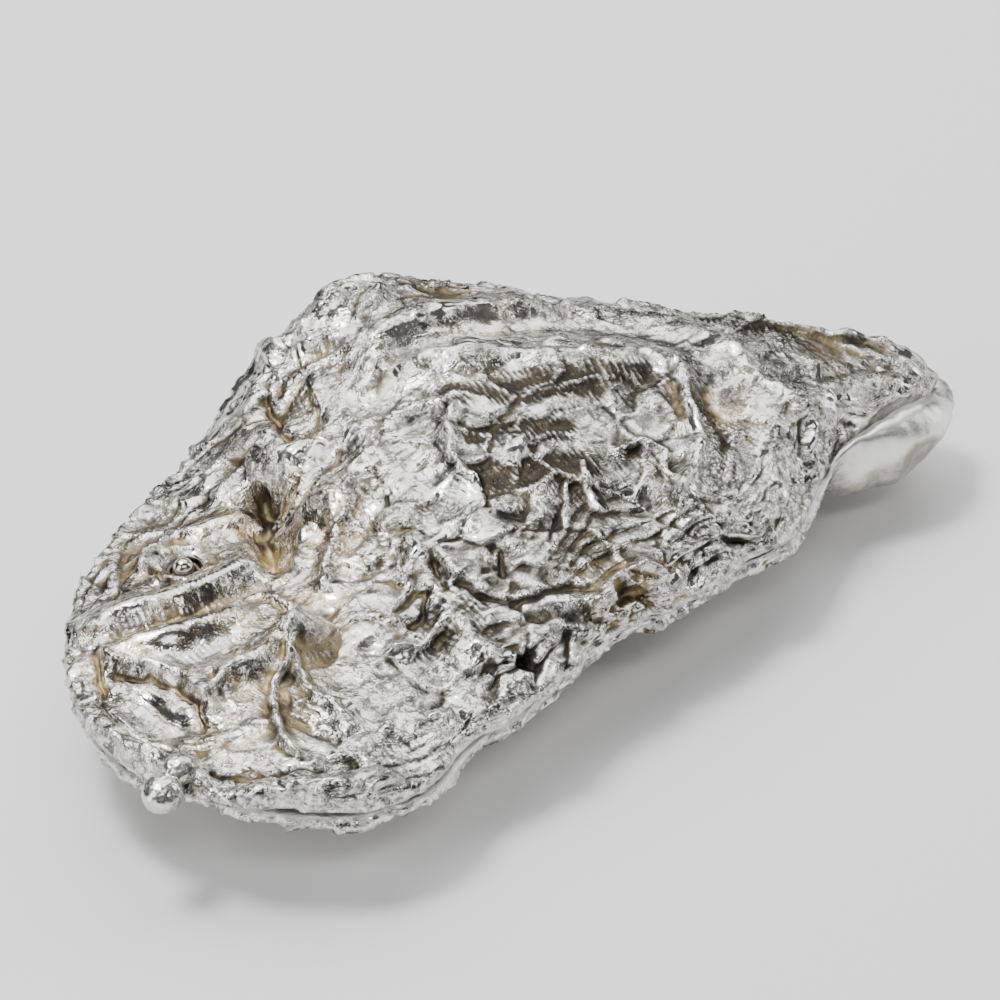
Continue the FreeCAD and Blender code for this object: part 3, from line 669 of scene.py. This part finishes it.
def silverMaterial(name, look, satin=None):
    material, tree, shader = newMaterial(name)
    hollow = attributeNode(tree, "hollow")
    warm = attributeNode(tree, "warm")
    outside = attributeNode(tree, "outside")
    growth = attributeNode(tree, "growth")
    calm = attributeNode(tree, "calm")
    cloud = noiseNode(tree, look["cloudScale"], 7, 0.66, 0.8)
    spots = noiseNode(tree, look["speckScale"], 7, 0.76, 0.4)

    # oxide collects in hollows, and in ragged patches of fine specks; the hollow value also carries the
    # painted shade and painted highlights of the listed spots
    patch = rangeNode(tree, cloud, 0.42, 0.53)
    low = rangeNode(tree, hollow, 0.50, 0.80)
    speckAmount = mathNode(tree, "MULTIPLY_ADD", patch, 0.70, 0.28)
    speck = mathNode(tree, "MULTIPLY", rangeNode(tree, spots, 0.44, 0.545), speckAmount)
    shade = mathNode(tree, "MAXIMUM", mathNode(tree, "MULTIPLY", low, 0.9), speck)
    spotShift = mathNode(tree, "MULTIPLY", mathNode(tree, "SUBTRACT", spots, 0.5), 0.8)
    deepWay = mathNode(tree, "ADD", hollow, spotShift)
    deep = mathNode(tree, "MULTIPLY", rangeNode(tree, deepWay, 0.60, 0.86), 0.95)
    tone = colorMix(tree, shade, look["bright"], look["mid"])
    tone = colorMix(tree, deep, tone, look["dark"])
    stain = mathNode(tree, "MULTIPLY", warm, rangeNode(tree, spots, 0.35, 0.6, 0.45, 1.0))
    tone = colorMix(tree, stain, tone, look["warm"])
    if satin:
        plain = mathNode(tree, "MULTIPLY", rangeNode(tree, calm, 0.75, 0.25), 0.85)
        milky = colorMix(tree, rangeNode(tree, cloud, 0.38, 0.66), satin["color"], satin["shade"])
        tone = colorMix(tree, plain, tone, milky)

    # the inside is plainer, with the muscle mark
    scarTone = rangeNode(tree, cloud, 0.3, 0.7, 0.55, 0.95)
    scar = mathNode(tree, "MULTIPLY", attributeNode(tree, "scar"), scarTone)
    lining = colorMix(tree, scar, look["inside"], look["scar"])
    tone = colorMix(tree, outside, lining, tone)
    tree.links.new(tone, shader.inputs["Base Color"])
    shader.inputs["Metallic"].default_value = 1.0

    # bright metal is smooth; oxide and the inside are duller
    rough = rangeNode(tree, spots, 0.35, 0.65, look["smooth"], look["rough"])
    rough = mathNode(tree, "ADD", rough, mathNode(tree, "MULTIPLY", deep, 0.22))
    inside = mathNode(tree, "SUBTRACT", 1.0, outside)
    rough = mathNode(tree, "ADD", rough, mathNode(tree, "MULTIPLY", inside, 0.2))
    if satin:
        rough = mathNode(tree, "MAXIMUM", rough, mathNode(tree, "MULTIPLY", plain, satin["roughness"]))
    tree.links.new(rough, shader.inputs["Roughness"])

    # fine growth lines, shallow dents and pits
    phase = mathNode(tree, "MULTIPLY", cloud, 10.0)
    wave = mathNode(tree, "SINE", mathNode(tree, "MULTIPLY_ADD", growth, look["growthLines"], phase))
    dents = noiseNode(tree, look["dentScale"], 3, 0.5)
    pits = noiseNode(tree, look["pitScale"], 2, 0.5)
    lines = mathNode(tree, "MULTIPLY", wave, rangeNode(tree, cloud, 0.45, 0.60, 0.0, 0.32))
    surface = mathNode(tree, "MULTIPLY_ADD", dents, mathNode(tree, "MULTIPLY_ADD", patch, 2.2, 1.0), lines)
    surface = mathNode(tree, "MULTIPLY_ADD", pits, mathNode(tree, "MULTIPLY_ADD", patch, 2.0, 0.3), surface)
    surface = mathNode(tree, "MULTIPLY", surface, rangeNode(tree, calm, 0.1, 1.0, 0.3, 1.0))
    bumpNode(tree, shader, surface, look["bump"])
    return material


def plainMetal(name, look):
    material, tree, shader = newMaterial(name)
    cloud = noiseNode(tree, look["cloud"], 5, 0.6)
    fine = noiseNode(tree, look["cloud"] * 4, 3, 0.6)
    dull = tuple(v * 0.62 for v in look["color"])
    tone = colorMix(tree, rangeNode(tree, cloud, 0.35, 0.7), look["color"], dull)
    tree.links.new(tone, shader.inputs["Base Color"])
    shader.inputs["Metallic"].default_value = 1.0
    worn, fresh = look["roughness"] * 1.4, look["roughness"] * 0.75
    tree.links.new(rangeNode(tree, fine, 0.3, 0.7, fresh, worn), shader.inputs["Roughness"])
    bumpNode(tree, shader, mathNode(tree, "ADD", cloud, fine), 0.3)
    return material


def paint(obj, material):
    obj.data.materials.clear()
    obj.data.materials.append(material)


shellSilver = silverMaterial("cast silver", silverLook)
lowerSilver = silverMaterial("cast silver, lower", silverLook, lobeLook)
# collar painted dark as the shade of the hole round the bead
holeShadeCollarSilver = plainMetal("collar silver painted dark as hole shade", collarLook)
hingeSilver = plainMetal("worn hinge silver", hingeLook)
beadSilver = plainMetal("polished bead", beadLook)
knobSilver = plainMetal("rubbed knob silver", knobLook)

lidPoints = np.array([list(v.co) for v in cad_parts["upper_valve"].data.vertices]) / mm
lidRing = polarEdge(lidPoints)


def makeShell(node, name, look, upper, material):
    shell = copyNode(node, name)
    remesh(shell, look["voxel"])
    mask = shellSkin(shell, look, upper)
    thin(shell, mask, look["mostTriangles"])
    paint(shell, material)
    bpy.ops.object.shade_smooth()
    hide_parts(node)
    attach(shell, "lid" if upper else "base")
    print("made", name)


def finishRound(name, material):
    obj = bpy.context.active_object
    obj.name = name
    bpy.ops.object.transform_apply(location=True, rotation=True, scale=True)
    bpy.ops.object.shade_smooth()
    paint(obj, material)
    print("made", name)
    return obj


def makeBead():
    low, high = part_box("pocket_bead")
    bpy.ops.object.select_all(action="DESELECT")
    bpy.ops.mesh.primitive_uv_sphere_add(segments=beadLook["segments"], ring_count=beadLook["rings"],
                                         radius=(high[0] - low[0]) / 2,
                                         location=[(low[k] + high[k]) / 2 for k in range(3)])
    bead = finishRound("pocketBead", beadSilver)
    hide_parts("pocket_bead")
    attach(bead, "lid")


def makeCollar():
    low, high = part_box("bead_collar")
    wire = collarLook["wire"] * mm
    bpy.ops.object.select_all(action="DESELECT")
    bpy.ops.mesh.primitive_torus_add(major_segments=collarLook["segments"],
                                     minor_segments=collarLook["sides"], minor_radius=wire,
                                     major_radius=(high[0] - low[0]) / 2 - wire,
                                     location=[(low[k] + high[k]) / 2 for k in range(3)])
    collar = finishRound("beadCollar", holeShadeCollarSilver)
    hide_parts("bead_collar")
    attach(collar, "lid")


def makeKnob():
    lumps = []
    for place, size in knobLook["lumps"]:
        bpy.ops.object.select_all(action="DESELECT")
        bpy.ops.mesh.primitive_uv_sphere_add(segments=48, ring_count=24, radius=mm,
                                             location=[v * mm for v in place])
        lump = bpy.context.active_object
        lump.scale = size
        bpy.ops.object.transform_apply(location=True, rotation=True, scale=True)
        lumps.append(lump)
    only(lumps[0])
    lumps[1].select_set(True)
    bpy.ops.object.join()
    knob = bpy.context.active_object
    knob.name = "thumbKnob"
    remesh(knob, knobLook["voxel"])
    place, normal, edge = readMesh(knob)
    place = smoothed(place, edge, 8)
    (wide, wideHigh), (small, smallHigh) = knobLook["waves"]
    seed = knobLook["seed"]
    dent = wideHigh * gradientNoise(place / wide, seed) + smallHigh * gradientNoise(place / small, seed + 1)
    place += normal * dent[:, None]
    knob.data.vertices.foreach_set("co", (place * mm).ravel())
    knob.data.update()
    bpy.ops.object.shade_smooth()
    paint(knob, knobSilver)
    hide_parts("thumb_knob")
    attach(knob, "lid")
    print("made thumbKnob")


makeShell("upper_valve", "upperShell", upperLook, True, shellSilver)
makeShell("lower_valve", "lowerShell", lowerLook, False, lowerSilver)
makeBead()
makeCollar()
makeKnob()
for node in ("lower_hinge_leaf", "upper_hinge_leaf", "hinge_pin", "lower_rivet_1", "lower_rivet_2",
             "upper_rivet_1", "upper_rivet_2"):
    paint(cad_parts[node], hingeSilver)

bpy.ops.object.select_all(action="DESELECT")
bpy.ops.mesh.primitive_plane_add(size=lightLook["floorSize"], location=(0, 0, 0))
floor = bpy.context.active_object
floor.name = "floor"
floorMaterial, floorTree, floorShader = newMaterial("pale floor")
floorShader.inputs["Base Color"].default_value = (*lightLook["floor"], 1)
floorShader.inputs["Roughness"].default_value = lightLook["floorRoughness"]
paint(floor, floorMaterial)

world = bpy.data.worlds.new("studio")
bpy.context.scene.world = world
world.use_nodes = True
background = world.node_tree.nodes["Background"]
background.inputs["Color"].default_value = (*lightLook["worldColor"], 1)
background.inputs["Strength"].default_value = lightLook["world"]

for name, place, size, power in lightLook["lamps"]:
    data = bpy.data.lights.new(name, "AREA")
    data.shape = "RECTANGLE"
    data.size, data.size_y = size
    data.energy = power
    lamp = bpy.data.objects.new(name, data)
    bpy.context.scene.collection.objects.link(lamp)
    lamp.location = place
    toShell = Vector((0, 0, lightLook["aimHigh"])) - Vector(place)
    lamp.rotation_euler = toShell.to_track_quat("-Z", "Y").to_euler()
print("lit the studio")

turn, lift = math.radians(cameraLook["turn"]), math.radians(cameraLook["lift"])
back = Vector((math.sin(turn) * math.cos(lift), -math.cos(turn) * math.cos(lift), math.sin(lift)))
cameraData = bpy.data.cameras.new("camera")
cameraData.lens = cameraLook["lens"]
cameraData.sensor_width = cameraLook["sensor"]
camera = bpy.data.objects.new("camera", cameraData)
bpy.context.scene.collection.objects.link(camera)
camera.location = Vector(cameraLook["aim"]) * mm + back * cameraLook["distance"]
camera.rotation_euler = back.to_track_quat("Z", "Y").to_euler()
bpy.context.scene.camera = camera
